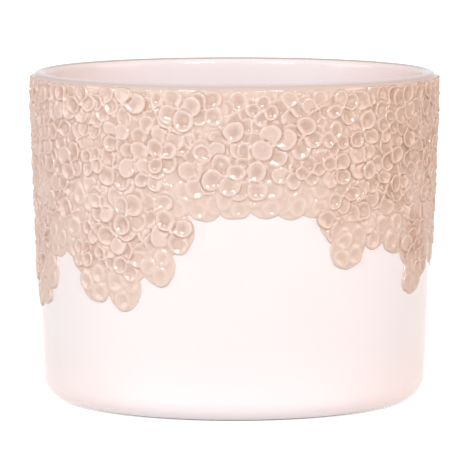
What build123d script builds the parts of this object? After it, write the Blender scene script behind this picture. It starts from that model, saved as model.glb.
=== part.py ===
"""A round cover pot of glazed stoneware with a relief of hydrangea florets around its upper half.

The pot stands on the origin, which is the middle of its foot. Z is up and the front faces -Y.
All sizes are in millimetres. An angle is counted from the front, and grows towards +X.

The real pot is one fired piece. Its parts, as a potter names them, are the turned body, the
bare foot ring, the plain collar under the lip, and the florets, which are pressed on in sprays
around the upper wall and in clusters that hang below them over the white wall.
"""

import os
from math import atan2, cos, degrees, hypot, pi, radians, sin, tan

from build123d import *

# Body: upright under the lip, then drawn in evenly down to a rounded heel
pot_height = 120.0
wall_radius = 73.4
wall_thickness = 4.6
upright_height = 13.0
heel_inset = 3.8
heel_round = 8.6
floor_thickness = 5.0
floor_round = 6.0

# Foot: a bare ring that lifts the glazed base off the table
foot_height = 2.0
foot_width = 6.5
heel_lift = 0.3

# Collar: a plain bead under the lip, which thins out upwards
collar_thickness = 1.0
collar_width = 2.2

# Florets: dished petals with thin rims, in staggered rows above the hanging clusters
sprays_bottom = 73.0
floret_height = 1.45
dish_depth = 0.9
floret_gap = 0.5
seat_clearance = 0.02

# Counts
heel_facets = 4
lip_facets = 4
floor_facets = 2
columns = 36
spray_rows = 4
sprays = 9

# Shape of a petal: its places as shares of the floret's radius, its width as a share of its angle
notch_share = 0.64
petal_width_share = 0.6
dish_low_share = 0.56

# Turn of a floret against its neighbours, in degrees
turn_per_column = 47.0
turn_per_row = 29.0

# The cells of each hanging cluster: its rows below the sprays, and the columns in each row.
# The first four hang at the front, as seen from left to right, and the others go on round.
hanging_clusters = [
    {0: (-9, -8, -7, -6), 1: (-9, -8, -7), 2: (-8,)},
    {0: (-5, -4, -3, -2), 1: (-5, -4, -3), 2: (-4, -3)},
    {0: (3, 4, 5), 1: (3,)},
    {0: (6, 7), 1: (6,), 2: (6,)},
    {0: (8, 9, 10, 11), 1: (8, 9, 10), 2: (10,)},
    {0: (13, 14, 15), 1: (13, 14), 2: (14,)},
    {0: (17, 18, 19, 20), 1: (17, 18, 19), 2: (18, 19)},
    {0: (22, 23), 1: (22,)},
    {0: (25, 26), 1: (25,)},
]

# Places that follow from the sizes above
inner_radius = wall_radius - wall_thickness
lip_radius = wall_thickness / 2
lip_height = pot_height - lip_radius
taper_top = pot_height - upright_height
floor_top = foot_height + floor_thickness
heel_middle = heel_lift + heel_round
heel_wall_radius = wall_radius - heel_inset
foot_radius = heel_wall_radius - heel_round
taper = degrees(atan2(heel_inset, taper_top - heel_middle))
inner_heel_radius = heel_wall_radius - wall_thickness
collar_radius = wall_radius + collar_thickness
collar_bottom = lip_height - collar_width
row_pitch = (collar_bottom - sprays_bottom) / spray_rows
column_pitch = 2 * pi * wall_radius / columns
column_angle = 360 / columns
floret_radius = (min(column_pitch, hypot(column_pitch / 2, row_pitch)) - floret_gap) / 2
first_row_height = collar_bottom - floret_gap - floret_radius


def rounded(middle, radius, start, end, facets):
    """Points along a round corner, from one angle to another, as a turned pot's profile has them."""
    angles = [radians(start + (end - start) * step / facets) for step in range(facets + 1)]
    return [(middle[0] + radius * cos(angle), middle[1] + radius * sin(angle)) for angle in angles]


def make_pot_body():
    """The white body: floor, tapered wall and rounded lip, turned in one go."""
    heel = rounded((foot_radius, heel_middle), heel_round, -90, -taper, heel_facets)
    lip = rounded((wall_radius - lip_radius, lip_height), lip_radius, 0, 180, lip_facets)
    inner_corner = (inner_heel_radius - floor_round, floor_top + floor_round)
    inner_heel = rounded(inner_corner, floor_round, -taper, -90, floor_facets)
    with BuildPart() as pot_body:
        with BuildSketch(Plane.XZ):
            with BuildLine():
                Polyline(
                    (0, foot_height),
                    (foot_radius, foot_height),
                    *heel,
                    (wall_radius, taper_top),
                    *lip,
                    (inner_radius, taper_top),
                    *inner_heel,
                    (0, floor_top),
                    close=True,
                )
            make_face()
        revolve(axis=Axis.Z)
    return pot_body


def make_foot_ring():
    """The bare clay ring that the pot stands on."""
    with BuildPart() as foot_ring:
        with BuildSketch():
            Circle(foot_radius)
            Circle(foot_radius - foot_width, mode=Mode.SUBTRACT)
        extrude(amount=foot_height)
    return foot_ring


def make_collar():
    """The plain beige bead under the lip, which the florets stop short of."""
    with BuildPart() as collar:
        with BuildSketch(Plane.XZ):
            with BuildLine():
                Polyline(
                    (wall_radius, collar_bottom),
                    (collar_radius, collar_bottom),
                    (wall_radius, lip_height),
                    close=True,
                )
            make_face()
        revolve(axis=Axis.Z)
    return collar


def floret_outline(petals):
    """Corners of a floret seen from the front: a notch, then the two corners of a petal, and so on."""
    petal_angle = 360 / petals
    half_width = petal_angle * petal_width_share / 2
    corners = []
    for petal in range(petals):
        middle = petal * petal_angle
        polar = [
            (floret_radius * notch_share, middle - petal_angle / 2),
            (floret_radius, middle - half_width),
            (floret_radius, middle + half_width),
        ]
        corners += [(radius * cos(radians(angle)), radius * sin(radians(angle))) for radius, angle in polar]
    return corners


def make_floret(petals):
    """One floret with a flat back, and with each petal dished down from its rim."""
    corners = floret_outline(petals)
    dish_low = floret_radius * dish_low_share
    with BuildPart() as floret:
        with BuildSketch():
            with BuildLine():
                Polyline(*corners, close=True)
            make_face()
        extrude(amount=floret_height)
        for petal in range(petals):
            first = 3 * petal
            rim = [corners[(first + step) % len(corners)] for step in range(4)]
            middle = radians(petal * 360 / petals)
            low_point = (dish_low * cos(middle), dish_low * sin(middle), floret_height - dish_depth)
            with BuildSketch(Plane.XY.offset(floret_height)) as petal_rim:
                with BuildLine():
                    Polyline((0, 0), *rim, close=True)
                make_face()
            loft(sections=[petal_rim.sketch, Vertex(*low_point)], mode=Mode.SUBTRACT)
    return floret


def wall_place(row, column):
    """Where a floret sits, square to the surface: on the upright wall, or further down on its taper."""
    height = first_row_height - row_pitch * row
    angle = radians(column_angle * (column + (row % 2) / 2))
    below = max(taper_top - height, 0)
    tilt = radians(taper) if below else 0
    seat = wall_radius - below * tan(tilt) + seat_clearance
    outwards = Vector(sin(angle), -cos(angle), 0)
    face = Plane(
        origin=outwards * seat + Vector(0, 0, height),
        x_dir=(cos(angle), sin(angle), 0),
        z_dir=outwards * cos(tilt) - Vector(0, 0, 1) * sin(tilt),
    )
    turn = turn_per_column * column + turn_per_row * row
    return Location(face) * Location((0, 0, 0), (0, 0, turn))


def place_florets(cells):
    """The florets of one spray or cluster: one in three has four petals, and the others have three."""
    four_petal_cells = [cell for cell in cells if sum(cell) % 3 == 0]
    three_petal_cells = [cell for cell in cells if sum(cell) % 3 != 0]
    with BuildPart() as florets:
        with Locations(*[wall_place(*cell) for cell in four_petal_cells]):
            add(four_petals.part)
        with Locations(*[wall_place(*cell) for cell in three_petal_cells]):
            add(three_petals.part)
    return florets


four_petals = make_floret(4)
three_petals = make_floret(3)

pieces = {
    "pot_body": make_pot_body(),
    "foot_ring": make_foot_ring(),
    "collar": make_collar(),
}
spray_columns = columns // sprays
for spray in range(sprays):
    spray_range = range(spray * spray_columns, (spray + 1) * spray_columns)
    cells = [(row, column) for row in range(spray_rows) for column in spray_range]
    pieces[f"floret_spray_{spray + 1}"] = place_florets(cells)
for number, cluster in enumerate(hanging_clusters, start=1):
    cells = [(spray_rows + row, column) for row, row_columns in cluster.items() for column in row_columns]
    pieces[f"hanging_cluster_{number}"] = place_florets(cells)

os.makedirs("parts", exist_ok=True)
for name, piece in pieces.items():
    piece.part.label = name
    export_step(piece.part, f"parts/{name}.step")
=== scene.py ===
# %% [markdown]
# # A glazed cover pot with a relief of florets
#
# The real pot is one fired piece of pale clay. Its body is turned, its lower wall, lip and inside
# are white, and its upper wall is covered with pressed-on florets under a thick beige glaze, which
# runs pale where it thins over a rim and dark where it pools in a dish; the dishes also carry
# painted shade. The imported model gives every place and size, and this script gives each part its
# finished surface around it.

# %% Load the frame
import math
import random

import bpy
import numpy as np
from mathutils import Matrix, Vector


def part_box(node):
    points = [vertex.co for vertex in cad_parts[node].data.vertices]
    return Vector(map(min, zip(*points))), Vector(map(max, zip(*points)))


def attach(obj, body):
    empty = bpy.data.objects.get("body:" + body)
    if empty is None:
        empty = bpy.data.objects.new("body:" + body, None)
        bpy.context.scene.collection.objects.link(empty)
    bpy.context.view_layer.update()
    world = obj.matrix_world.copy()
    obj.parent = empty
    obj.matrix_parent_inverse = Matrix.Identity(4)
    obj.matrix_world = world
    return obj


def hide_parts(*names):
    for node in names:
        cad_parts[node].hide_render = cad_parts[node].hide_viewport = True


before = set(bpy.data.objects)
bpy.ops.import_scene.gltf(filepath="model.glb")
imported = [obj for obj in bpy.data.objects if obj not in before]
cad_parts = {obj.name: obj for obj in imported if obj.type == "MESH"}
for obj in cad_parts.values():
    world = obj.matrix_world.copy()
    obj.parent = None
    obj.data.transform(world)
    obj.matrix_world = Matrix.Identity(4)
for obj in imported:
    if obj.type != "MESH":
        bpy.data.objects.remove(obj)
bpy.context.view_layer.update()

MM = 0.001

# %% [markdown]
# ## Sizes
#
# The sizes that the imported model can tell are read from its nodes. The few that it can't, such as
# the thickness of the wall, are named here. The places that were read from the photograph are
# angles from the front, in degrees, growing to the right, and heights above the table.

# %% Sizes from the frame
pot_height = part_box("pot_body")[1].z
wall_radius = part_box("pot_body")[1].x
collar_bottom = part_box("collar")[0].z
collar_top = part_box("collar")[1].z
foot_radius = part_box("foot_ring")[1].x
foot_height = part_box("foot_ring")[1].z

wall_thickness = 4.6 * MM
taper_top = 107 * MM
heel_lift = 0.3 * MM
heel_round = 8.6 * MM
floor_thickness = 5 * MM
floor_round = 6 * MM

heel_radius = foot_radius + heel_round
heel_middle = heel_lift + heel_round
inner_radius = wall_radius - wall_thickness
print("wall", wall_radius, "collar", collar_bottom, collar_top)


def wall_at(height):
    """Outer radius of the white wall: upright under the lip, tapering to the heel below."""
    share = min(max((height - heel_middle) / (taper_top - heel_middle), 0), 1)
    return heel_radius + share * (wall_radius - heel_radius)


# %% [markdown]
# ## A small workshop
#
# Every piece is made with Blender's own tools, and a few helpers keep the steps short. An operator
# acts on all that is selected, so one helper clears the selection, and another picks faces or
# vertices by a test, in edit mode.

# %% Helpers for selecting
def deselect_all():
    """Leaves nothing selected, because an operator acts on all that is."""
    for item in list(bpy.context.selected_objects):
        item.select_set(False)


def make_active(piece):
    """Selects one piece alone and makes it the one that operators act on."""
    deselect_all()
    piece.select_set(True)
    bpy.context.view_layer.objects.active = piece


def choose(faces=None, verts=None):
    """Selects, in edit mode, the faces or the vertices that a test picks."""
    mesh = bpy.context.object.data
    bpy.ops.mesh.select_mode(type="FACE" if faces else "VERT")
    bpy.ops.mesh.select_all(action="DESELECT")
    bpy.ops.object.mode_set(mode="OBJECT")
    if faces:
        for face in mesh.polygons:
            face.select = faces(face)
    else:
        for vert in mesh.vertices:
            vert.select = verts(vert)
    bpy.ops.object.mode_set(mode="EDIT")


# %% [markdown]
# A pot is turned on a wheel, so its round parts are made from an outline. The outline is drawn
# point by point, by extruding a single vertex, and then spun once round the Z axis. Round corners
# come as short arcs of points.

# %% Helpers for turned bodies
turning_steps = 192
merge_distance = 0.001 * MM
crease_angle = 40


def turn(name, outline):
    """Spins an outline of (radius, height) points into a closed round body."""
    deselect_all()
    bpy.ops.mesh.primitive_plane_add(size=MM, location=(outline[0][0], 0, outline[0][1]))
    bpy.ops.object.transform_apply(location=True, rotation=True, scale=True)
    body = bpy.context.object
    body.name = name
    bpy.ops.object.mode_set(mode="EDIT")
    bpy.ops.mesh.select_all(action="SELECT")
    bpy.ops.mesh.merge(type="CENTER")
    for (radius, height), (next_radius, next_height) in zip(outline, outline[1:]):
        step = (next_radius - radius, 0, next_height - height)
        bpy.ops.mesh.extrude_vertices_move(TRANSFORM_OT_translate={"value": step})
    bpy.ops.mesh.select_all(action="SELECT")
    bpy.ops.mesh.spin(steps=turning_steps, angle=math.tau, center=(0, 0, 0), axis=(0, 0, 1))
    bpy.ops.mesh.select_all(action="SELECT")
    bpy.ops.mesh.remove_doubles(threshold=merge_distance)
    bpy.ops.mesh.normals_make_consistent(inside=False)
    bpy.ops.object.mode_set(mode="OBJECT")
    bpy.ops.object.shade_smooth_by_angle(angle=math.radians(crease_angle))
    return body


def arc(middle, radius, start, end, steps):
    """Points of a round corner, from one angle to another, in degrees."""
    angles = [math.radians(start + (end - start) * step / steps) for step in range(steps + 1)]
    return [(middle[0] + radius * math.cos(a), middle[1] + radius * math.sin(a)) for a in angles]


# %% [markdown]
# A modifier could stay live on its piece, but the later steps measure and move the finished
# points, so each one is applied as soon as it is added.

# %% Helper for modifiers
def add_modifier(piece, kind, **settings):
    """Adds a modifier with its settings and applies it at once."""
    modifier = piece.modifiers.new(kind, kind)
    for key, value in settings.items():
        setattr(modifier, key, value)
    make_active(piece)
    bpy.ops.object.modifier_apply(modifier=modifier.name)


# %% [markdown]
# ## The white body
#
# The body is the thrown form: a rounded heel, a wall that widens gently up to just under the lip,
# and a lip as thick as the wall, fully rounded by its glaze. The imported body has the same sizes
# with a few flat facets at the heel and the lip, so a smoother one stands for it. It could be cut
# from a cylinder step by step, but an outline that is spun keeps every radius and height in one
# list, as a potter's template does. The lip stays a little under full size, to leave room for the
# film of beige glaze on top.

# %% Turn the body
corner_steps = 14
floor_steps = 10
wall_shares = (0.2, 0.4, 0.6, 0.8)
film_room = 0.08 * MM

taper_angle = math.degrees(math.atan2(wall_radius - heel_radius, taper_top - heel_middle))
lip_radius = wall_thickness / 2
lip_centre = (wall_radius - lip_radius, pot_height - lip_radius)
upright_middle = (taper_top + lip_centre[1]) / 2
floor_top = foot_height + floor_thickness
floor_centre = (heel_radius - wall_thickness - floor_round, floor_top + floor_round)
base_middle = foot_radius / 2

body_outline = [(0, foot_height), (base_middle, foot_height), (foot_radius, foot_height)]
body_outline += arc((foot_radius, heel_middle), heel_round, -90, -taper_angle, corner_steps)
for share in wall_shares:
    height = heel_middle + share * (taper_top - heel_middle)
    body_outline.append((wall_at(height), height))
body_outline += [(wall_radius, taper_top), (wall_radius, upright_middle)]
body_outline += arc(lip_centre, lip_radius - film_room, 0, 180, corner_steps)
body_outline += [(inner_radius, upright_middle), (inner_radius, taper_top)]
body_outline += arc(floor_centre, floor_round, -taper_angle, -90, floor_steps)
body_outline += [(base_middle, floor_top), (0, floor_top)]

white_body = turn("white_body", body_outline)
print("white body", len(white_body.data.polygons), "faces")

# %% [markdown]
# ## The collar
#
# Between the florets and the lip runs a plain strip of the beige glaze. It starts as a thin film
# over the top of the lip, swells to a soft bead on the outside and dips under the petals below, so
# no edge shows. A mask could paint it on the body, but a body of its own gives the bead a shape
# that catches the light. Its outline is turned in the same way. The bead's points are given in
# millimetres: how far they lie out of the wall, and how far above the collar's edge.

# %% Turn the collar
tuck_depth = 0.6 * MM
tuck = 3 * MM
tucked_out = 0.25 * MM
bead_over_bottom = ((0.3, 0.6), (0.5, 1.3), (0.62, 1.8))
bead_over_top = ((0.55, 0.1), (0.32, 0.5))
film_start = 124
film_end = 24
film_thickness = 0.3 * MM
film_steps = 10
film_back_steps = 8

collar_foot = (wall_radius - tuck_depth, collar_bottom - tuck)
collar_outline = [collar_foot, (wall_radius + tucked_out, collar_bottom - tuck)]
for edge, bead in ((collar_bottom, bead_over_bottom), (collar_top, bead_over_top)):
    collar_outline += [(wall_radius + out * MM, edge + up * MM) for out, up in bead]
collar_outline += arc(lip_centre, lip_radius, film_end, film_start, film_steps)
collar_outline += arc(lip_centre, lip_radius - film_thickness, film_start, 0, film_back_steps)
collar_outline += [(wall_radius - tuck_depth, collar_top), collar_foot]

beige_collar = turn("beige_collar", collar_outline)
print("collar", len(beige_collar.data.polygons), "faces")

# %% [markdown]
# ## The petals
#
# A petal is a small oval dish with a thin rim. It could be sculpted, but insets give a rim of an
# even width at once, and a subdivision surface then rounds it. It starts as a short cylinder. The
# top is inset to leave the rim, the inner face is pushed down in steps to make the dish, and the
# end that meets the middle of the floret is narrowed. Some petals are deep, some shallow and some
# nearly flat, as pressed clay is, and those at the lower edge lie under a thicker glaze, which
# leaves broad rims. Each step of a dish is its width and its depth, in millimetres.

# %% Model the petals
petal_width = 7.7 * MM
petal_length = 8.3 * MM
petal_body = 2.6 * MM
petal_sides = 12
facing_up = 0.9
narrowed_from = 0.3
narrowed_to = 0.65
petal_shapes = {
    "deep": {"rim": 0.7 * MM, "dish": ((0.55, 0.5), (0.75, 0.42), (0.8, 0.22)), "foot": 0.9},
    "open": {"rim": 0.65 * MM, "dish": ((0.65, 0.42), (0.9, 0.35), (0.8, 0.15)), "foot": 0.93},
    "flat": {"rim": 0.6 * MM, "dish": ((0.7, 0.3), (1, 0.25)), "foot": 0.95},
    "soft": {"rim": 1 * MM, "dish": ((0.9, 0.35), (1, 0.25)), "foot": 1.1},
}


def model_petal(name, rim, dish, foot):
    """An oval dish that reaches from the origin along +X, with its rim at height zero."""
    deselect_all()
    bpy.ops.mesh.primitive_cylinder_add(
        vertices=petal_sides, radius=petal_width / 2, depth=petal_body, end_fill_type="NGON"
    )
    petal = bpy.context.object
    petal.name = "petal_" + name
    bpy.ops.object.mode_set(mode="EDIT")
    choose(faces=lambda face: face.normal.z > facing_up)
    bpy.ops.mesh.inset(thickness=rim)
    for width, depth in dish:
        bpy.ops.mesh.inset(thickness=width * MM)
        bpy.ops.transform.translate(value=(0, 0, -depth * MM))
    choose(faces=lambda face: face.normal.z < -facing_up)
    bpy.ops.transform.resize(value=(foot, foot, 1))
    bpy.ops.mesh.select_all(action="SELECT")
    bpy.ops.transform.resize(value=(petal_length / petal_width, 1, 1))
    choose(verts=lambda vert: vert.co.x < -narrowed_from * petal_width)
    bpy.ops.transform.resize(value=(1, narrowed_to, 1), center_override=(0, 0, 0))
    bpy.ops.mesh.select_all(action="SELECT")
    bpy.ops.transform.translate(value=(petal_length / 2, 0, -petal_body / 2))
    bpy.ops.object.mode_set(mode="OBJECT")
    add_modifier(petal, "SUBSURF", levels=1, render_levels=1)
    return petal


petal_models = {name: model_petal(name, **shape) for name, shape in petal_shapes.items()}
print("petal faces", {name: len(model.data.polygons) for name, model in petal_models.items()})

# %% [markdown]
# ## Beads, pads and plates
#
# A tiny bead sits in the middle of each floret, and a low pad of glaze joins its petals to the
# wall. The lowest florets, where the glaze ran and collected before it set, have melted into a
# round plate with a sloping edge. Pad and plate are made alike, from a cylinder whose top is
# narrowed and inset. The pad's middle stands a little higher than its rim, and the plate's lower.

# %% Model the bead, the pad and the plate
disc_depth = 1.2 * MM
ring_shares = (0.5, 1.5)
bead_shape = {"segments": 10, "ring_count": 6, "radius": 0.7 * MM}
pad_shape = {"sides": 20, "radius": 8.4 * MM, "top": 0.5 * MM, "slope": 1, "rim": 1 * MM,
             "sunk": -0.1 * MM}
plate_shape = {"sides": 24, "radius": 8.3 * MM, "top": 0.85 * MM, "slope": 0.86, "rim": 1.2 * MM,
               "sunk": 0.35 * MM}


def model_disc(name, sides, radius, top, slope, rim, sunk):
    """A disc that starts below the wall's surface and narrows, its top moved inside the rim."""
    deselect_all()
    depth = top + disc_depth
    bpy.ops.mesh.primitive_cylinder_add(
        vertices=sides, radius=radius, depth=depth, end_fill_type="NGON"
    )
    disc = bpy.context.object
    disc.name = name
    bpy.ops.object.mode_set(mode="EDIT")
    choose(faces=lambda face: face.normal.z > facing_up)
    bpy.ops.transform.resize(value=(slope, slope, 1))
    bpy.ops.mesh.inset(thickness=rim)
    bpy.ops.transform.translate(value=(0, 0, -sunk))
    for share in ring_shares:
        bpy.ops.mesh.inset(thickness=share * rim)
    bpy.ops.mesh.select_all(action="SELECT")
    bpy.ops.transform.translate(value=(0, 0, top - depth / 2))
    bpy.ops.object.mode_set(mode="OBJECT")
    add_modifier(disc, "SUBSURF", levels=1, render_levels=1)
    return disc


deselect_all()
bpy.ops.mesh.primitive_uv_sphere_add(**bead_shape)
shape_models = dict(petal_models, bead=bpy.context.object)
shape_models["pad"] = model_disc("pad", **pad_shape)
shape_models["plate"] = model_disc("plate", **plate_shape)
print("shape faces", {name: len(model.data.polygons) for name, model in shape_models.items()})

# %% [markdown]
# ## Where the florets go
#
# Around the upper wall the florets are scattered between an even row under the lip and one at the
# lower edge, close enough to overlap as pressed clay does. A grid would show its rows, so places
# are drawn at random, from a fixed seed, and kept only where they lie far enough from all others.
# Every place is an angle in degrees and a height in millimetres.

# %% Scatter the florets of the sprays
edge_row, edge_columns = 79.3, 46
top_row, top_columns = 111.3, 46
row_turn = 1
row_shift = 0.8
nearest = 7.7
tries = 12000
places_seed = 11
spray_count = 9
spray_angle = 360 / spray_count
spray_start = -5
degree_width = wall_radius / MM * math.radians(1)


def degrees_between(angle, other):
    """How far one angle lies beyond another, the short way round."""
    return (angle - other + 180) % 360 - 180


def scattered(dice):
    """Places around the upper wall: an even row at each edge, then as many as fit in between."""
    places = []
    for height, columns in ((edge_row, edge_columns), (top_row, top_columns)):
        for column in range(columns):
            angle = 360 / columns * column + dice.uniform(-row_turn, row_turn)
            places.append((angle, height + dice.uniform(-row_shift, row_shift)))
    for _ in range(tries):
        angle, height = dice.uniform(0, 360), dice.uniform(edge_row, top_row)
        apart = min(
            math.hypot(degrees_between(angle, other) * degree_width, height - other_height)
            for other, other_height in places
        )
        if apart > nearest:
            places.append((angle, height))
    return places


dice = random.Random(places_seed)
florets = []
for angle, height in scattered(dice):
    spray = int(((angle - spray_start) % 360) // spray_angle) + 1
    florets.append((f"spray_{spray}", angle, height))
print("florets of the sprays", len(florets))

# %% [markdown]
# Below the sprays, clusters hang down over the white wall. Those at the front are placed as in the
# photograph, floret by floret. Those at the back continue in the same rhythm over the clusters of
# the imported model, in rows that get shorter downwards.

# %% Place the hanging clusters
front_clusters = {
    1: [(-58.5, 72), (-61.5, 62), (-71, 61), (-80.5, 62), (-90, 61), (-67.3, 50.5), (-76.5, 51),
        (-86, 51), (-73, 43.5), (-82, 42), (-77, 70), (-66, 71), (-87, 71)],
    2: [(-17.5, 67.6), (-22, 75), (-22, 55.8), (-26.5, 64.5), (-31, 56.5), (-33, 46.3),
        (-43.8, 48.3), (-39, 56.8), (-35, 66), (-48, 58.5), (-43.5, 67.5), (-53.5, 63.5),
        (-31, 73.5), (-52, 72.5), (-40, 75.5)],
    3: [(43.5, 67), (53, 64.8), (37, 71), (48, 73.5), (30, 72)],
    4: [(63.2, 48.6), (67.2, 54), (61, 60), (69.5, 60), (58, 70), (66.5, 68), (75, 68)],
    5: [(84.5, 57)],
}
back_clusters = {
    5: (75, (7, 5, 2)),
    6: (129, (3, 2, 1)),
    7: (169, (5, 4, 3)),
    8: (219, (3, 2)),
    9: (249, (3, 1)),
}
back_top = 71
back_across = 8.2
back_down = 8.8
back_shift = 1


def staggered(start, counts):
    """Places of a cluster whose rows get shorter downwards."""
    places = []
    for row, count in enumerate(counts):
        first = start + back_across * (counts[0] - count) / 2
        for column in range(count):
            places.append((first + back_across * column, back_top - back_down * row))
    return places


for number, places in front_clusters.items():
    florets += [(f"cluster_{number}", angle, height) for angle, height in places]
for number, (start, counts) in back_clusters.items():
    for angle, height in staggered(start, counts):
        angle += dice.uniform(-back_shift, back_shift)
        florets.append((f"cluster_{number}", angle, height + dice.uniform(-back_shift, back_shift)))
print("florets in all", len(florets))

# %% [markdown]
# The florets are pressed on in a random order, but the melted ones of the lower edge go first,
# because the others lie over them. Two more that hang at the front lie over all the rest.

# %% Put the florets in order
beside_reach = 6.5
below_reach = (3, 12)
above_edge_row = 1
last_pressed = [("cluster_3", 34.3, 63.4), ("cluster_3", 33.2, 60.4)]


def is_lowest(floret):
    """Whether this is a floret of the lower edge, with no other one just below it."""
    group, angle, height = floret
    if group.startswith("spray") and height > edge_row + above_edge_row:
        return False
    for _, other, other_height in florets:
        across = degrees_between(angle, other) * degree_width
        if abs(across) < beside_reach and below_reach[0] < height - other_height < below_reach[1]:
            return False
    return True


dice.shuffle(florets)
florets.sort(key=is_lowest, reverse=True)
florets += last_pressed
lowest = [is_lowest(floret) for floret in florets]
print("florets", len(florets), "of which lowest", sum(lowest))

# %% [markdown]
# ## Lay the florets out
#
# The relief is laid out flat first, with the wall unrolled: across, up and out. This keeps the
# sums plain, and the shapes are still those of the models above. A few single petals go on first,
# so that no bare gap is left between the florets.

# %% Lay out the petals in the gaps
rim_height = 1.5 * MM
gap_petals = 3
gap_kinds = ("deep", "open")
gap_sizes = (0.66, 0.9)
gap_reach = 2 * MM
gap_height = 1.15 * MM
gap_seed = 5
petal_reach = (petal_length / 2, petal_length / 2, petal_width / 2)


def coordinates(mesh):
    """The places of a mesh's vertices as an array."""
    flat = np.empty(len(mesh.vertices) * 3)
    mesh.vertices.foreach_get("co", flat)
    return flat.reshape(-1, 3)


def moved(points, matrix):
    """Points moved by a matrix."""
    matrix = np.array(matrix)
    return points @ matrix[:3, :3].T + matrix[:3, 3]


def seat_of(angle, height):
    """Where a floret sits on the unrolled wall."""
    return Matrix.Translation((math.radians(angle) * wall_radius, height * MM, 0))


def laid_shape(group, kind, place, reach=None):
    """One shape on the unrolled wall. With a reach, it presses flat what lies under it."""
    points = moved(coordinates(shape_models[kind].data), place)
    return {"group": group, "kind": kind, "points": points, "place": place, "reach": reach}


def lay_gap_petals(dice):
    """Single petals around each floret, which show where the later ones leave a gap."""
    laid = []
    for (group, angle, height), soft in zip(florets, lowest):
        for _ in range(0 if soft else gap_petals):
            kind, size = dice.choice(gap_kinds), dice.uniform(*gap_sizes)
            place = (seat_of(angle, height)
                     @ Matrix.Rotation(dice.uniform(0, math.tau), 4, "Z")
                     @ Matrix.Translation((gap_reach, 0, gap_height))
                     @ Matrix.Diagonal((size, size, 1, 1)))
            laid.append(laid_shape(group, kind, place, petal_reach))
    return laid


laid = lay_gap_petals(random.Random(gap_seed))
print("petals in the gaps", len(laid))

# %% [markdown]
# Each floret then gets copies of the petals, turned, sized, tilted and seated a little differently,
# because no two are pressed alike. The angles are in degrees, and the other ranges are shares of
# the model's size. A melted floret has fewer and softer petals, which lie level on its plate.

# %% Lay out the florets
petals_round = 4
petal_kinds = ("deep", "deep", "deep", "open", "open", "flat")
petal_sizes = (0.76, 0.84, 0.91, 0.97, 1.03)
petal_turn = (-9, 9)
petal_stretch = (0.88, 1.08)
petal_widening = (0.92, 1.1)
petal_lift = (-4, 3)
petal_lean = (-4, 4)
petal_levels = (-0.1, 0.2)
petal_start = 0.1 * MM
bead_drop = 0.1 * MM
soft_petals_round = 3
soft_height = 1.08 * MM
soft_sizes = (0.96, 1.06)
soft_stretch = 0.93
soft_widening = 1.04
plate_edge = plate_shape["slope"] * plate_shape["radius"]
plate_reach = (0, plate_edge, plate_edge)


def petal_place(dice, seat, turned, level, size, soft):
    """Where one petal of a floret lies, turned, tilted and stretched a little differently."""
    askew = math.radians(dice.uniform(*petal_turn))
    stretch = (soft_stretch if soft else 1) * size * dice.uniform(*petal_stretch)
    width = (soft_widening if soft else 1) * size * dice.uniform(*petal_widening)
    lift = 0 if soft else math.radians(dice.uniform(*petal_lift))
    lean = 0 if soft else math.radians(dice.uniform(*petal_lean))
    return (seat
            @ Matrix.Rotation(turned + askew, 4, "Z")
            @ Matrix.Translation((petal_start, 0, level))
            @ Matrix.Rotation(-lift, 4, "Y")
            @ Matrix.Rotation(lean, 4, "X")
            @ Matrix.Diagonal((stretch, width, 1, 1)))


def lay_out(dice):
    """All the petals, beads, pads and plates on the unrolled wall, in the order of pressing."""
    laid = []
    for (group, angle, height), soft in zip(florets, lowest):
        seat = seat_of(angle, height)
        size = dice.uniform(*soft_sizes) if soft else dice.choice(petal_sizes)
        spin = dice.uniform(0, math.tau)
        level = soft_height if soft else rim_height + dice.uniform(*petal_levels) * MM
        count = soft_petals_round if soft else petals_round
        if soft:
            place = seat @ Matrix.Diagonal((size, size, 1, 1))
            laid.append(laid_shape(group, "plate", place, plate_reach))
        else:
            laid.append(laid_shape(group, "pad", seat))
        for number in range(count):
            kind = "soft" if soft else dice.choice(petal_kinds)
            turned = spin + math.tau * number / count
            place = petal_place(dice, seat, turned, level, size, soft)
            laid.append(laid_shape(group, kind, place, None if soft else petal_reach))
        if not soft:
            place = seat @ Matrix.Translation((0, 0, level - bead_drop))
            laid.append(laid_shape(group, "bead", place))
    return laid


laid += lay_out(dice)
print("shapes laid out", len(laid))

# %% [markdown]
# ## Press the florets on
#
# A petal that is pressed on later flattens what lies under it, so that it is whole and the earlier
# one disappears beneath its rim. A boolean could cut the overlap away, but clay isn't cut: around
# the later petal it gives way a little too, less and less outwards.

# %% Press each shape under the later ones
pressed_height = 0.4 * MM
press_share = 0.25
press_reach = 1.3
reach_between = 18 * MM


def press(laid):
    """Flattens each shape where a later petal or plate covers it."""
    pressing = [(number, shape) for number, shape in enumerate(laid) if shape["reach"]]
    orders = np.array([number for number, _ in pressing])
    middles = np.array([shape["points"][:, :2].mean(axis=0) for _, shape in pressing])
    inverses = np.array([np.array(shape["place"].inverted()) for _, shape in pressing])
    full_turn = math.tau * wall_radius
    for number, shape in enumerate(laid):
        points = shape["points"]
        across = middles - points[:, :2].mean(axis=0)
        across[:, 0] -= full_turn * np.round(across[:, 0] / full_turn)
        near = np.hypot(across[:, 0], across[:, 1]) < reach_between
        for index in np.nonzero(near & (orders > number))[0]:
            start, along, beside = pressing[index][1]["reach"]
            flat = points * (1, 1, 0) + (0, 0, rim_height)
            flat[:, 0] += full_turn * np.round((middles[index][0] - points[:, 0]) / full_turn)
            local = moved(flat, inverses[index])
            ring = np.hypot((local[:, 0] - start) / along, local[:, 1] / beside)
            share = np.clip((press_reach - ring) / (press_reach - 1), 0, 1)
            share = share * share * (3 - 2 * share)  # eased at both ends
            above = np.maximum(points[:, 2] - pressed_height, 0)
            lowered = points[:, 2] - press_share * share * above
            covered = ring < 1
            lowered[covered] = np.minimum(points[covered, 2], pressed_height)
            points[:, 2] = lowered


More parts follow.
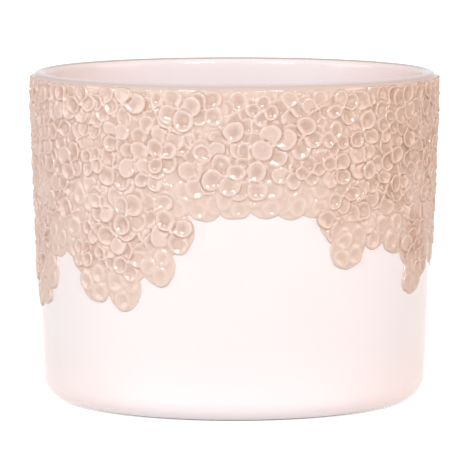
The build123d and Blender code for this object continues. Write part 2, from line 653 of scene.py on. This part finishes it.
press(laid)
heights = [shape["points"][:, 2].max() for shape in laid]
print("shapes pressed flat", sum(height <= pressed_height for height in heights))

# %% [markdown]
# A hand never presses a perfect oval. So everything is shifted a little, in slow waves that go
# round the pot a whole number of times and therefore close without a seam.

# %% Sway the outlines
sway_size = 0.14 * MM
wave_count = 12
waves_round = (12, 36)
waves_up = (-400, 400)


def sway(laid, dice):
    """Shifts everything a little, in slow waves, so that no petal keeps an exact oval."""
    waves = [
        (dice.randint(*waves_round), dice.uniform(*waves_up), dice.uniform(0, math.tau))
        for _ in range(wave_count)
    ]
    for shape in laid:
        points = shape["points"]
        angle, up = points[:, 0] / wall_radius, points[:, 1]
        shift = [
            sum(np.sin(n * angle + k * up + phase) for n, k, phase in waves[half::2])
            for half in (0, 1)
        ]
        points[:, 0] += sway_size * shift[0]
        points[:, 1] += sway_size * shift[1]


sway(laid, dice)
print("waves", wave_count)

# %% [markdown]
# ## Roll the relief round the wall
#
# Rolling turns the distance across into an angle, and the distance out into a larger radius. A
# bend modifier could do as much for a straight wall, but this one tapers, and the sums follow that
# too. No point may stand out further than the relief is deep or climb on the lip, and it comes up
# to these limits softly, so that no edge forms there.

# %% Roll
relief_depth = 1.65 * MM
depth_ease = 0.3 * MM
relief_top = collar_top + 0.6 * MM
top_ease = 1.6 * MM
soft_reach = 10 * MM
soft_fade = 4 * MM


def held_below(values, limit, ease):
    """Values that come up to a limit softly instead of passing it."""
    over = np.maximum(values - (limit - ease), 0)
    return np.where(over > 0, limit - ease + ease * np.tanh(over / ease), values)


def roll(points):
    """Turns unrolled points (across, up, out) into places round the wall."""
    out = held_below(points[:, 2], relief_depth, depth_ease)
    up = held_below(points[:, 1], relief_top, top_ease)
    angle = points[:, 0] / wall_radius
    radius = np.array([wall_at(height) for height in up]) + out
    return np.stack([radius * np.sin(angle), -radius * np.cos(angle), up], axis=1)


def near_soft(points):
    """How far inside a melted floret each point lies: 1 in its middle, 0 beyond its edge."""
    angle = np.arctan2(points[:, 0], -points[:, 1])
    weight = np.zeros(len(points))
    for (_, turned, height), soft in zip(florets, lowest):
        if soft:
            across = (angle - math.radians(turned) + math.pi) % math.tau - math.pi
            away = np.hypot(across * wall_radius, points[:, 2] - height * MM)
            weight = np.maximum(weight, np.clip((soft_reach - away) / soft_fade, 0, 1))
    return weight


print("the front at the collar, rolled", roll(np.array([[0, collar_bottom, 0]]))[0])

# %% [markdown]
# ## Melt the relief
#
# Each spray and each cluster becomes one skin. Shapes that are only joined keep the faces that lie
# inside one another, so a voxel remesh makes one closed surface of them, which is then smoothed, as
# a thick glaze rounds every edge and fills every corner. The melted florets are smoothed more than
# the rest, and shallow dents keep the surface as uneven as a hand leaves it. At the end half of the
# faces go, where the surface hardly bends.

# %% Melt
grain = 0.27 * MM
smooth_share = 0.5
smooth_rounds = 9
soft_rounds = 14
dent_depth = 0.22 * MM
dent_level = 0.5
kept_share = 0.5
dents = bpy.data.textures.new("dents", "CLOUDS")
dents.noise_scale = 2 * MM


def join(parts, name):
    """Joins objects into the first one."""
    deselect_all()
    for part in parts:
        part.select_set(True)
    bpy.context.view_layer.objects.active = parts[0]
    bpy.ops.object.join()
    parts[0].name = name
    return parts[0]


def melt(group):
    """One spray or cluster as a single smooth skin."""
    parts = []
    for shape in laid:
        if shape["group"] == group:
            copy = bpy.data.objects.new(shape["kind"], shape_models[shape["kind"]].data.copy())
            bpy.context.scene.collection.objects.link(copy)
            copy.data.vertices.foreach_set("co", roll(shape["points"]).ravel())
            parts.append(copy)
    piece = join(parts, "relief_" + group)
    add_modifier(piece, "REMESH", mode="VOXEL", voxel_size=grain, use_smooth_shade=True)
    add_modifier(piece, "SMOOTH", factor=smooth_share, iterations=smooth_rounds)
    group_soft = piece.vertex_groups.new(name="soft")
    softness = near_soft(coordinates(piece.data))
    for index in np.nonzero(softness > 0)[0]:
        group_soft.add([int(index)], float(softness[index]), "REPLACE")
    add_modifier(piece, "SMOOTH", factor=smooth_share, iterations=soft_rounds, vertex_group="soft")
    add_modifier(piece, "DISPLACE", texture=dents, texture_coords="LOCAL", strength=dent_depth,
                 mid_level=dent_level)
    add_modifier(piece, "SMOOTH", factor=smooth_share, iterations=1)
    add_modifier(piece, "DECIMATE", ratio=kept_share)
    piece.data.validate()
    make_active(piece)
    bpy.ops.object.shade_smooth()
    return piece


relief = {}
for group in sorted({group for group, _, _ in florets}):
    relief[group] = melt(group)
    print(group, len(relief[group].data.polygons), "faces")
for model in shape_models.values():
    bpy.data.objects.remove(model)

# %% [markdown]
# ## How thick the glaze lies, and where shade is painted
#
# A glossy glaze thins over a sharp rim, where the pale clay shows through, and pools in a hollow,
# where it is darker, and the hollows are darkened further as painted shade. The skin's own shape
# says which is which: a point that stands out from the average of its neighbours is on a rim, and
# one that hardly rises above the wall is at the outer edge, where the glaze runs out. Blender's own
# Pointiness sees only the nearest points, so the average is taken here over a narrow and a broad
# ring. The results are kept as attributes.

# %% Measure rims and hollows
fine_rounds = 6
broad_rounds = 60
fine_rim = 0.05 * MM
broad_rim = 0.7 * MM


def measure_glaze(piece):
    """Writes how far each point stands out from its surroundings and the wall, -1 to 1."""
    mesh = piece.data
    points = coordinates(mesh)
    pairs = np.empty(len(mesh.edges) * 2, dtype=np.int64)
    mesh.edges.foreach_get("vertices", pairs)
    first, second = pairs.reshape(-1, 2).T
    count = len(points)
    degree = np.bincount(first, minlength=count) + np.bincount(second, minlength=count)
    degree = np.maximum(degree, 1)
    wall = np.array([wall_at(height) for height in points[:, 2]])
    out = np.hypot(points[:, 0], points[:, 1]) - wall
    average = np.maximum(out, 0)
    keep = average.copy()
    for step in range(broad_rounds):
        total = np.bincount(first, weights=average[second], minlength=count)
        total += np.bincount(second, weights=average[first], minlength=count)
        average = total / degree
        if step == fine_rounds - 1:
            fine = keep - average
    broad = keep - average
    values = {"fine": fine / fine_rim, "broad": broad / broad_rim, "rise": keep / relief_depth}
    values["melted"] = near_soft(points)
    for key, value in values.items():
        attribute = mesh.attributes.new(key, "FLOAT", "POINT")
        attribute.data.foreach_set("value", np.clip(value, -1, 1))
    return values


for group, piece in relief.items():
    measured = measure_glaze(piece)
    print(group, {key: round(float(value.mean()), 3) for key, value in measured.items()})

# %% [markdown]
# ## Glazes
#
# Both glazes are a clear glassy coat over a coloured body. A few helpers first: they place a node,
# mix two colours, map one range to another, and read where on the pot a point lies.

# %% Helpers for materials
def add_node(tree, kind, place, **settings):
    """Adds a node at a place in the tree with its settings."""
    node = tree.nodes.new(kind)
    node.location = place
    for key, value in settings.items():
        setattr(node, key, value)
    return node


def mix_colours(tree, place, factor, first, second):
    """A colour mix whose factor is a socket, and whose colours are values or sockets."""
    mix = add_node(tree, "ShaderNodeMix", place, data_type="RGBA")
    tree.links.new(factor, mix.inputs["Factor"])
    for socket, colour in ((mix.inputs["A"], first), (mix.inputs["B"], second)):
        if isinstance(colour, tuple):
            socket.default_value = (*colour, 1)
        else:
            tree.links.new(colour, socket)
    return mix.outputs["Result"]


def ramp(tree, place, value, low, high, out_low=0.0, out_high=1.0):
    """Maps a value from one range to another, clamped."""
    node = add_node(tree, "ShaderNodeMapRange", place)
    node.inputs["From Min"].default_value = low
    node.inputs["From Max"].default_value = high
    node.inputs["To Min"].default_value = out_low
    node.inputs["To Max"].default_value = out_high
    tree.links.new(value, node.inputs["Value"])
    return node.outputs["Result"]


def surface_place(tree, place):
    """Where on the pot a point lies: the whole vector, and its X, Y and Z."""
    texture = add_node(tree, "ShaderNodeTexCoord", place)
    split = add_node(tree, "ShaderNodeSeparateXYZ", (place[0] + 200, place[1]))
    tree.links.new(texture.outputs["Object"], split.inputs["Vector"])
    return texture.outputs["Object"], split.outputs


def new_material(name):
    """An empty node material with its output and a Principled shader."""
    material = bpy.data.materials.new(name)
    material.use_nodes = True
    tree = material.node_tree
    tree.nodes.clear()
    shader = add_node(tree, "ShaderNodeBsdfPrincipled", (300, 0))
    output = add_node(tree, "ShaderNodeOutputMaterial", (600, 0))
    tree.links.new(shader.outputs["BSDF"], output.inputs["Surface"])
    return material, tree, shader


# %% [markdown]
# A shared group makes what all fired glazes have: a faint cloudiness, fine specks, and a surface
# that is never quite flat. Each material mixes that with its own colours.

# %% Shared glaze group
cloud_detail = 3
speck_scale = 1900
speck_range = (0.72, 0.8)
ripple_scale = 110
ripple_detail = 2
ripple_height = 0.4 * MM


def make_glaze_group():
    """A group that turns the surface's place into clouds, specks and a normal."""
    tree = bpy.data.node_groups.new("fired glaze", "ShaderNodeTree")
    sockets = (("Clouds", "INPUT", "Float"), ("Ripple", "INPUT", "Float"),
               ("Cloud", "OUTPUT", "Float"), ("Speck", "OUTPUT", "Float"),
               ("Normal", "OUTPUT", "Vector"))
    for name, way, kind in sockets:
        tree.interface.new_socket(name, in_out=way, socket_type="NodeSocket" + kind)
    inputs = add_node(tree, "NodeGroupInput", (-900, 0))
    outputs = add_node(tree, "NodeGroupOutput", (500, 0))
    place = add_node(tree, "ShaderNodeTexCoord", (-900, -200))
    cloud = add_node(tree, "ShaderNodeTexNoise", (-600, 150))
    cloud.inputs["Detail"].default_value = cloud_detail
    speck = add_node(tree, "ShaderNodeTexNoise", (-600, -150))
    speck.inputs["Scale"].default_value = speck_scale
    ripple = add_node(tree, "ShaderNodeTexNoise", (-600, -400))
    ripple.inputs["Scale"].default_value = ripple_scale
    ripple.inputs["Detail"].default_value = ripple_detail
    bump = add_node(tree, "ShaderNodeBump", (0, -300))
    bump.inputs["Distance"].default_value = ripple_height
    link = tree.links.new
    link(inputs.outputs["Clouds"], cloud.inputs["Scale"])
    for texture in (cloud, speck, ripple):
        link(place.outputs["Object"], texture.inputs["Vector"])
    link(ripple.outputs["Fac"], bump.inputs["Height"])
    link(inputs.outputs["Ripple"], bump.inputs["Strength"])
    link(cloud.outputs["Fac"], outputs.inputs["Cloud"])
    link(ramp(tree, (-300, -150), speck.outputs["Fac"], *speck_range), outputs.inputs["Speck"])
    link(bump.outputs["Normal"], outputs.inputs["Normal"])
    return tree


def add_glaze(tree, clouds, ripple):
    """The shared group, set for one material."""
    group = add_node(tree, "ShaderNodeGroup", (-700, -200), node_tree=glaze_group)
    group.inputs["Clouds"].default_value = clouds
    group.inputs["Ripple"].default_value = ripple
    return group


glaze_group = make_glaze_group()
print("fired glaze group", len(glaze_group.nodes), "nodes")

# %% [markdown]
# ## White glaze
#
# The white is a touch pink and smooth enough to mirror a lamp softly. Where the wall turns away
# from the camera it is darkened a little as painted shade. Inside it is painted lighter, as painted
# light, and towards the sides darker and warmer, as painted shade. On the very top of the lip a
# little clay shows through.

# %% White glaze material
blush, blush_light = (0.85, 0.795, 0.795), (0.87, 0.82, 0.825)
speck_brown = (0.6, 0.53, 0.48)
lip_clay = (0.6, 0.45, 0.4)
# painted light and shade: the inside is painted lighter than the outer white, and towards its sides
# darker and warmer
painted_light_inside, painted_shade_inside = (0.94, 0.87, 0.885), (0.91, 0.775, 0.74)
# painted shade: the white is darkened where the wall turns away from the camera
steep_shade_white = (0.72, 0.56, 0.53)
lip_range, lip_strength = (pot_height - 0.5 * MM, pot_height - 0.15 * MM), 0.15
inside_range = (inner_radius + 1.5 * MM, inner_radius + 0.5 * MM)
sides_range = (30 * MM, inner_radius)
steep_shade_blend, steep_shade_range, steep_shade_strength = 0.3, (0.4, 0.9), 0.25
cloud_range, white_roughness = (0.3, 0.7), (0.08, 0.14)


def make_white_glaze():
    """White glossy glaze with faint clouds and a few specks, painted lighter inside, with painted
    shade at the inside's sides and where the wall turns away.
    """
    material, tree, shader = new_material("white_glaze")
    glaze = add_glaze(tree, clouds=35, ripple=0.06)
    cloud = glaze.outputs["Cloud"]
    place, axes = surface_place(tree, (-700, 500))
    colour = mix_colours(tree, (-300, 200), cloud, blush, blush_light)
    colour = mix_colours(tree, (-100, 200), glaze.outputs["Speck"], colour, speck_brown)
    lip = ramp(tree, (-300, 500), axes["Z"], *lip_range, 0, lip_strength)
    colour = mix_colours(tree, (50, 300), lip, colour, lip_clay)

    # Painted light and shade inside: lighter in the middle, darker and warmer towards the sides.
    beside = add_node(tree, "ShaderNodeMath", (-300, 1250), operation="ABSOLUTE")
    tree.links.new(axes["X"], beside.inputs[0])
    sides = ramp(tree, (-100, 1250), beside.outputs["Value"], *sides_range)
    inside_painted_tone = mix_colours(tree, (50, 1250), sides, painted_light_inside, painted_shade_inside)
    level = add_node(tree, "ShaderNodeVectorMath", (-500, 800), operation="MULTIPLY")
    level.inputs[1].default_value = (1, 1, 0)
    radius = add_node(tree, "ShaderNodeVectorMath", (-300, 800), operation="LENGTH")
    tree.links.new(place, level.inputs[0])
    tree.links.new(level.outputs["Vector"], radius.inputs[0])
    inside = ramp(tree, (-100, 800), radius.outputs["Value"], *inside_range)
    colour = mix_colours(tree, (150, 500), inside, colour, inside_painted_tone)

    # Painted shade: the white darkens where the wall turns away from the camera.
    facing = add_node(tree, "ShaderNodeLayerWeight", (-300, 1050))
    facing.inputs["Blend"].default_value = steep_shade_blend
    deep = ramp(tree, (-100, 1050), facing.outputs["Facing"], *steep_shade_range, 0, steep_shade_strength)
    colour = mix_colours(tree, (250, 700), deep, colour, steep_shade_white)
    roughness = ramp(tree, (-100, -100), cloud, *cloud_range, *white_roughness)
    tree.links.new(colour, shader.inputs["Base Color"])
    tree.links.new(roughness, shader.inputs["Roughness"])
    tree.links.new(glaze.outputs["Normal"], shader.inputs["Normal"])
    return material


white_glaze = make_white_glaze()
print("white glaze", len(white_glaze.node_tree.nodes), "nodes")

# %% [markdown]
# ## Beige glaze
#
# The beige is a glassier glaze. Its mirror fades at steep angles, so that the glaze keeps its
# colour there. What the relief and the plain strip share is made once.

# %% What both beige glazes share
sand, sand_light = (0.69, 0.515, 0.435), (0.72, 0.545, 0.465)
beige_roughness = 0.05
beige_ior = 1.65
mirror_blend, mirror_range, mirror_levels = 0.4, (0.25, 0.7), (0.5, 0.06)


def start_beige(name):
    """A beige glaze with its clouds and its mirror, but without a colour of its own yet."""
    material, tree, shader = new_material(name)
    glaze = add_glaze(tree, clouds=90, ripple=0.12)
    facing = add_node(tree, "ShaderNodeLayerWeight", (-1100, -300))
    facing.inputs["Blend"].default_value = mirror_blend
    mirror = ramp(tree, (-800, -300), facing.outputs["Facing"], *mirror_range, *mirror_levels)
    tree.links.new(mirror, shader.inputs["Specular IOR Level"])
    tree.links.new(glaze.outputs["Normal"], shader.inputs["Normal"])
    shader.inputs["Roughness"].default_value = beige_roughness
    shader.inputs["IOR"].default_value = beige_ior
    colour = mix_colours(tree, (-800, 900), glaze.outputs["Cloud"], sand, sand_light)
    return material, tree, shader, facing.outputs["Facing"], colour


# %% [markdown]
# On the relief the measured values drive the colour: pale on the rims and the outer edges, warm
# sand on the petals, and darker and redder in the hollows, partly as pooled glaze and partly as
# painted shade, and where the relief is seen at a steep angle, as painted shade. Towards the right
# of the pot it is darker and warmer. Each layer says what places it, where it starts and where it
# is full, how strong it then is, and its colour. The later ones lie on top.

# %% Beige glaze of the relief
relief_layers = (
    # right: darker and warmer towards the right of the pot
    ("right", 10 * MM, 60 * MM, 0.8, (0.57, 0.37, 0.27)),
    # broad: darker hollows, partly pooled glaze and partly painted shade
    ("broad", -0.05, -0.6, 0.6, (0.45, 0.28, 0.195)),
    ("fine", 0.15, 0.9, 0.42, (0.81, 0.66, 0.58)),
    # steep: painted shade where the relief turns away from the camera
    ("steep", 0.15, 0.8, 0.45, (0.52, 0.29, 0.2)),
    ("melted", 0, 1, 0.45, (0.72, 0.56, 0.47)),
    ("rise", 0.28, 0.02, 0.75, (0.88, 0.79, 0.71)),
)


def make_relief_glaze():
    """Glossy sand-beige glaze, pale on rims, dark in hollows from pooled glaze and painted shade,
    with painted shade at steep angles.
    """
    material, tree, shader, steep, colour = start_beige("beige_glaze_relief")
    _, axes = surface_place(tree, (-1100, 700))
    values = {"right": axes["X"], "steep": steep}
    for row, key in enumerate(("fine", "broad", "rise", "melted")):
        node = add_node(tree, "ShaderNodeAttribute", (-1100, 500 - 200 * row), attribute_name=key)
        values[key] = node.outputs["Fac"]
    for column, (key, start, full, strength, layer) in enumerate(relief_layers):
        share = ramp(tree, (200 * column - 800, 700), values[key], start, full, 0, strength)
        colour = mix_colours(tree, (200 * column - 700, 900), share, colour, layer)
    tree.links.new(colour, shader.inputs["Base Color"])
    return material


beige_relief = make_relief_glaze()
print("relief glaze", len(beige_relief.node_tree.nodes), "nodes")

# %% [markdown]
# The plain strip thins out upwards. On its way over the lip it first turns grey, then as pale as
# the white below it, and on the far side of the pot, where it is seen edge on, darker.

# %% Beige glaze of the plain strip
film_grey, film_pale, film_behind = (0.61, 0.5, 0.48), (0.84, 0.73, 0.725), (0.6, 0.48, 0.42)
thin_range = (collar_top + 0.6 * MM, collar_top + 1.2 * MM)
pale_range = (collar_top + 1.5 * MM, collar_top + 2.2 * MM)
behind_range = (10 * MM, 50 * MM)


def make_plain_glaze():
    """The same glaze where it lies plain, and thins to a film over the lip."""
    material, tree, shader, _, colour = start_beige("beige_glaze_plain")
    _, axes = surface_place(tree, (-1100, 500))
    thin = ramp(tree, (-700, 500), axes["Z"], *thin_range)
    colour = mix_colours(tree, (-400, 700), thin, colour, film_grey)
    pale = ramp(tree, (-500, 500), axes["Z"], *pale_range)
    colour = mix_colours(tree, (-200, 700), pale, colour, film_pale)
    behind = add_node(tree, "ShaderNodeMath", (-100, 500), operation="MULTIPLY")
    tree.links.new(thin, behind.inputs[0])
    tree.links.new(ramp(tree, (-300, 500), axes["Y"], *behind_range), behind.inputs[1])
    colour = mix_colours(tree, (0, 700), behind.outputs["Value"], colour, film_behind)
    tree.links.new(colour, shader.inputs["Base Color"])
    return material


beige_plain = make_plain_glaze()
print("plain glaze", len(beige_plain.node_tree.nodes), "nodes")

# %% [markdown]
# ## Bare clay
#
# The foot ring is wiped clean before firing, so it is dry, slightly grainy and darker than the
# glaze.

# %% Bare clay material
clay, clay_light = (0.66, 0.57, 0.47), (0.78, 0.7, 0.6)
clay_roughness = 0.85


def make_bare_clay():
    """Dry pale clay with a fine grain."""
    material, tree, shader = new_material("bare_clay")
    glaze = add_glaze(tree, clouds=160, ripple=0.5)
    colour = mix_colours(tree, (-300, 200), glaze.outputs["Cloud"], clay, clay_light)
    tree.links.new(colour, shader.inputs["Base Color"])
    tree.links.new(glaze.outputs["Normal"], shader.inputs["Normal"])
    shader.inputs["Roughness"].default_value = clay_roughness
    return material


bare_clay = make_bare_clay()
print("bare clay", len(bare_clay.node_tree.nodes), "nodes")

# %% [markdown]
# ## Dress the pot
#
# Each finished piece gets its material, rides on the pot's one body, and stands for the node of
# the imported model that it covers. The foot ring is good as it is, so it only gets its clay.

# %% Put the materials on
def dress(piece, material):
    """Gives a piece one material, and puts it on the pot's body."""
    piece.data.materials.clear()
    piece.data.materials.append(material)
    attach(piece, "root")


dress(white_body, white_glaze)
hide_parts("pot_body")
dress(beige_collar, beige_plain)
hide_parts("collar")
for name, piece in relief.items():
    dress(piece, beige_relief)
    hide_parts(name.replace("spray", "floret_spray").replace("cluster", "hanging_cluster"))
foot_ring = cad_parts["foot_ring"]
foot_ring.data.materials.clear()
foot_ring.data.materials.append(bare_clay)
print("dressed: the body, the collar and", len(relief), "pieces of relief")

# %% [markdown]
# ## Stage, light and camera
#
# The pot stands on a pale floor that runs back without an edge. Floor and world are white where the
# camera or a reflection sees them, and softer in the light that they shed, so that the floor keeps
# the pot's shadow. Close to the pot the floor's own white is a little weaker.

# %% Stage
floor_size = 12
floor_grey = (0.8, 0.8, 0.8, 1)
floor_roughness = 0.9
white_range, white_levels = (0.3, 1.2), (0.65, 1)


def seen_rays(tree, place):
    """1 for what the camera, a mirror or clear glass sees, and 0 for light that is shed."""
    path = add_node(tree, "ShaderNodeLightPath", place)
    mirrored = add_node(tree, "ShaderNodeMath", (place[0] + 200, place[1]), operation="MAXIMUM")
    seen = add_node(tree, "ShaderNodeMath", (place[0] + 400, place[1]), operation="MAXIMUM")
    tree.links.new(path.outputs["Is Glossy Ray"], mirrored.inputs[0])
    tree.links.new(path.outputs["Is Transmission Ray"], mirrored.inputs[1])
    tree.links.new(path.outputs["Is Camera Ray"], seen.inputs[0])
    tree.links.new(mirrored.outputs["Value"], seen.inputs[1])
    return seen.outputs["Value"]


def make_stage():
    """A wide white floor which keeps the pot's shadow."""
    deselect_all()
    bpy.ops.mesh.primitive_plane_add(size=floor_size)
    floor = bpy.context.object
    floor.name = "floor"
    material, tree, shader = new_material("floor_white")
    place = add_node(tree, "ShaderNodeTexCoord", (-900, -600))
    away = add_node(tree, "ShaderNodeVectorMath", (-700, -600), operation="LENGTH")
    tree.links.new(place.outputs["Object"], away.inputs[0])
    white = ramp(tree, (-300, -600), away.outputs["Value"], *white_range, *white_levels)
    lift = add_node(tree, "ShaderNodeMath", (0, -300), operation="MULTIPLY")
    tree.links.new(seen_rays(tree, (-900, -300)), lift.inputs[0])
    tree.links.new(white, lift.inputs[1])
    tree.links.new(lift.outputs["Value"], shader.inputs["Emission Strength"])
    shader.inputs["Emission Color"].default_value = (1, 1, 1, 1)
    shader.inputs["Base Color"].default_value = floor_grey
    shader.inputs["Roughness"].default_value = floor_roughness
    shader.inputs["Specular IOR Level"].default_value = 0
    floor.data.materials.append(material)
    return floor


floor = make_stage()
print("floor", tuple(floor.dimensions))

# %% [markdown]
# The world is made in the same way: plain white where it is seen, and in the light that it sheds
# a touch warm.

# %% World
shed_colour = (1, 0.96, 0.95, 1)
shed_strength = 0.4


def make_world():
    """White where the camera or a reflection sees it, and a softer light for the rest."""
    world = bpy.data.worlds.new("studio")
    world.use_nodes = True
    tree = world.node_tree
    tree.nodes.clear()
    output = add_node(tree, "ShaderNodeOutputWorld", (600, 0))
    seen = add_node(tree, "ShaderNodeBackground", (200, 100))
    seen.inputs["Color"].default_value = (1, 1, 1, 1)
    seen.inputs["Strength"].default_value = 1
    shed = add_node(tree, "ShaderNodeBackground", (200, -100))
    shed.inputs["Color"].default_value = shed_colour
    shed.inputs["Strength"].default_value = shed_strength
    mix = add_node(tree, "ShaderNodeMixShader", (400, 0))
    tree.links.new(seen_rays(tree, (-600, 0)), mix.inputs["Fac"])
    tree.links.new(shed.outputs["Background"], mix.inputs[1])
    tree.links.new(seen.outputs["Background"], mix.inputs[2])
    tree.links.new(mix.outputs["Shader"], output.inputs["Surface"])
    bpy.context.scene.world = world
    return world


world = make_world()
print("world", world.name)

# %% [markdown]
# Two soft boxes in front give the short bright marks on the glaze and inside the far lip. A larger
# lamp at each side lights the wall where it turns away, the right one warmer than the left.

# %% Lamps
lamp_distance = 1.5
box_size = (0.48, 0.34)
side_size = (0.9, 0.9)
left_light, right_light = (1, 0.95, 0.94), (1, 0.79, 0.71)


def add_lamp(name, turn_right, elevation, size, power, colour=(1, 1, 1)):
    """A soft rectangular lamp that faces the pot, turned to the right of the camera and raised."""
    data = bpy.data.lights.new(name, "AREA")
    data.shape = "RECTANGLE"
    data.size, data.size_y = size
    data.energy = power
    data.color = colour
    lamp = bpy.data.objects.new(name, data)
    bpy.context.scene.collection.objects.link(lamp)
    right, up = math.radians(turn_right), math.radians(elevation)
    way = Vector((math.sin(right) * math.cos(up), -math.cos(right) * math.cos(up), math.sin(up)))
    lamp.location = Vector((0, 0, pot_height / 2)) + way * lamp_distance
    lamp.rotation_mode = "QUATERNION"
    lamp.rotation_quaternion = (-way).to_track_quat("-Z", "Y")
    print("lamp", name, tuple(lamp.location))


add_lamp("box_left", turn_right=-29, elevation=24, size=box_size, power=7.1)
add_lamp("box_right", turn_right=22, elevation=24, size=box_size, power=6.8)
add_lamp("side_left", turn_right=-80, elevation=15, size=side_size, power=5.5, colour=left_light)
add_lamp("side_right", turn_right=80, elevation=15, size=side_size, power=6.6, colour=right_light)

# %% [markdown]
# The camera stands where the photographer's did: a little above the rim and about 1.6 metres away.
# Its lens follows from the real size of one pixel of the photograph at the pot's axis.

# %% Camera
camera_distance = 1.6
camera_elevation = math.radians(6.12)
camera_reach = 20
frame_pixels = 470
pixel_size = 0.366 * MM
photo_axis_x = 234.5
aim_z = 59.5 * MM

camera_data = bpy.data.cameras.new("camera")
camera = bpy.data.objects.new("camera", camera_data)
bpy.context.scene.collection.objects.link(camera)
bpy.context.scene.camera = camera
camera_data.lens = camera_data.sensor_width * camera_distance / (frame_pixels * pixel_size)
camera_data.clip_end = camera_reach
aim_x = (frame_pixels / 2 - photo_axis_x) * pixel_size
back = Vector((0, -math.cos(camera_elevation), math.sin(camera_elevation)))
camera.location = Vector((aim_x, 0, aim_z)) + back * camera_distance
camera.rotation_mode = "QUATERNION"
camera.rotation_quaternion = (-back).to_track_quat("-Z", "Y")
bpy.context.scene.view_settings.view_transform = "Standard"
print("camera", tuple(camera.location), "lens", camera_data.lens)
